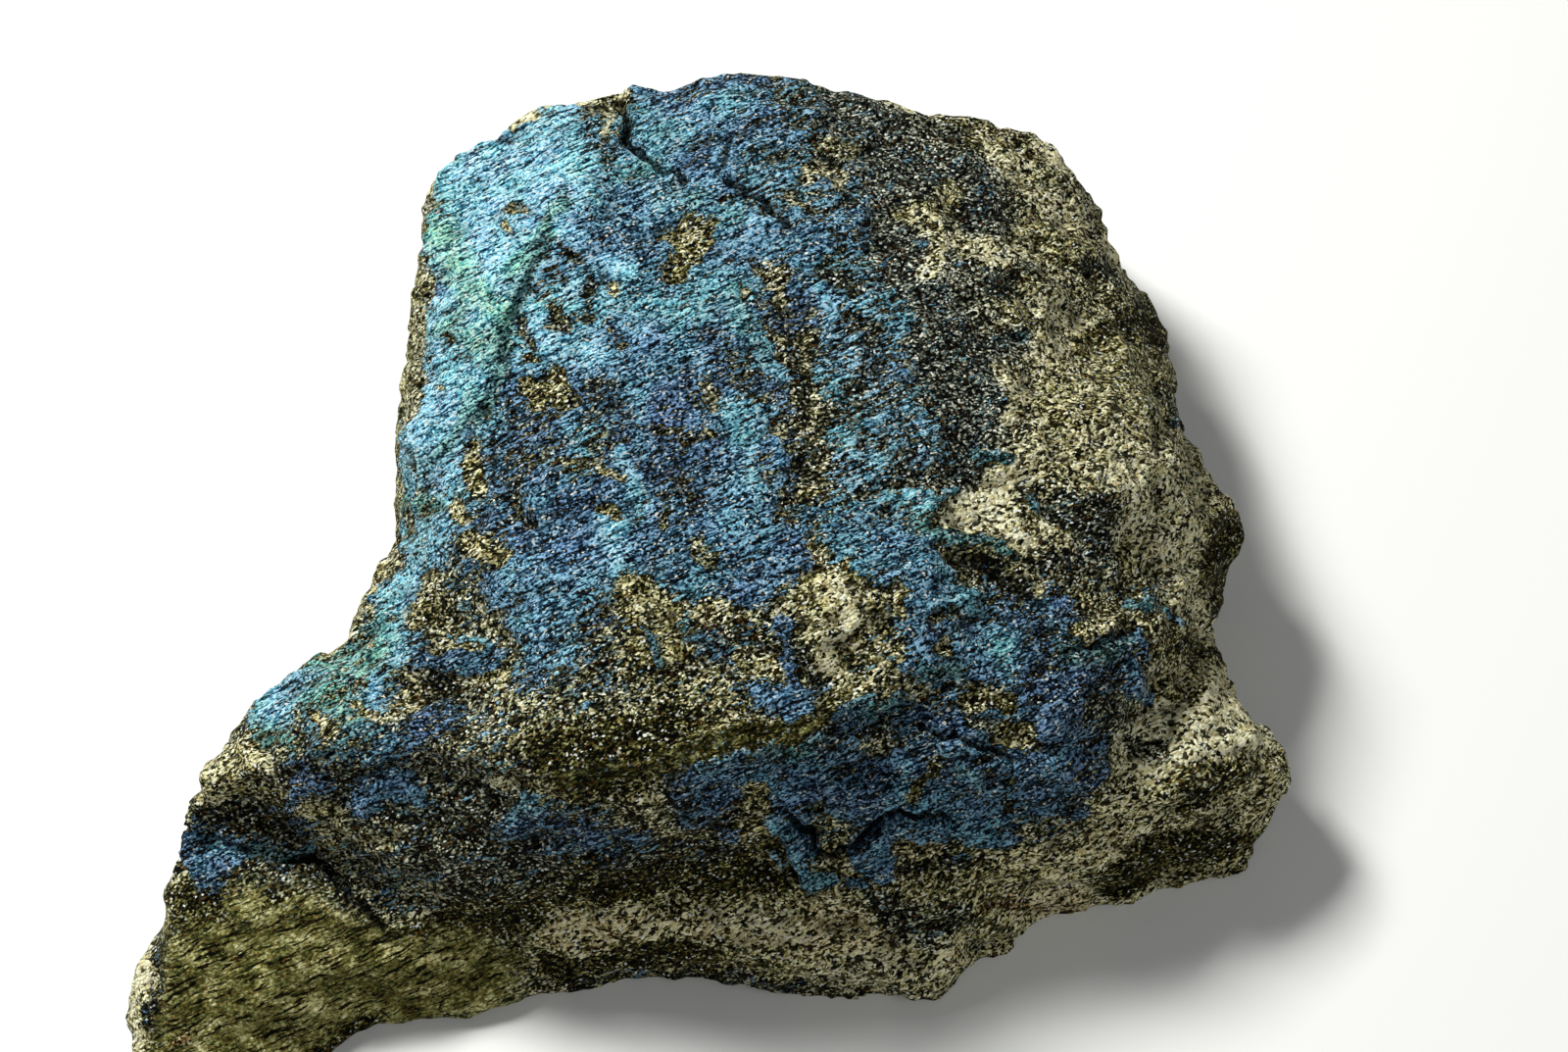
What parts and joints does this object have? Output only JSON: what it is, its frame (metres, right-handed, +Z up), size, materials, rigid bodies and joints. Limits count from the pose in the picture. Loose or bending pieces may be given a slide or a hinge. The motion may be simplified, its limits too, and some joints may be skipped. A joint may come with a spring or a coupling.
{
  "type": "aerinite mineral specimen",
  "caption": "Rough broken block of dark speckled dolerite lying on its flat back, with a blue aerinite crust over its upper face and front.",
  "frame": {"origin": "centre of the bounding box's base, in the plane of the flat face that the stone lies on", "axes": "+Z up out of the table, through the crusted face; +X along the long, ragged front foot; -Y to the front, where the foot is"},
  "size_m": [0.12, 0.1073, 0.0397],
  "materials": {
    "stone": "rough, crystalline grain under a dull earthy blue crust"
  },
  "bodies": {
    "root": {"stone": "stone"}
  },
  "joints": []
}
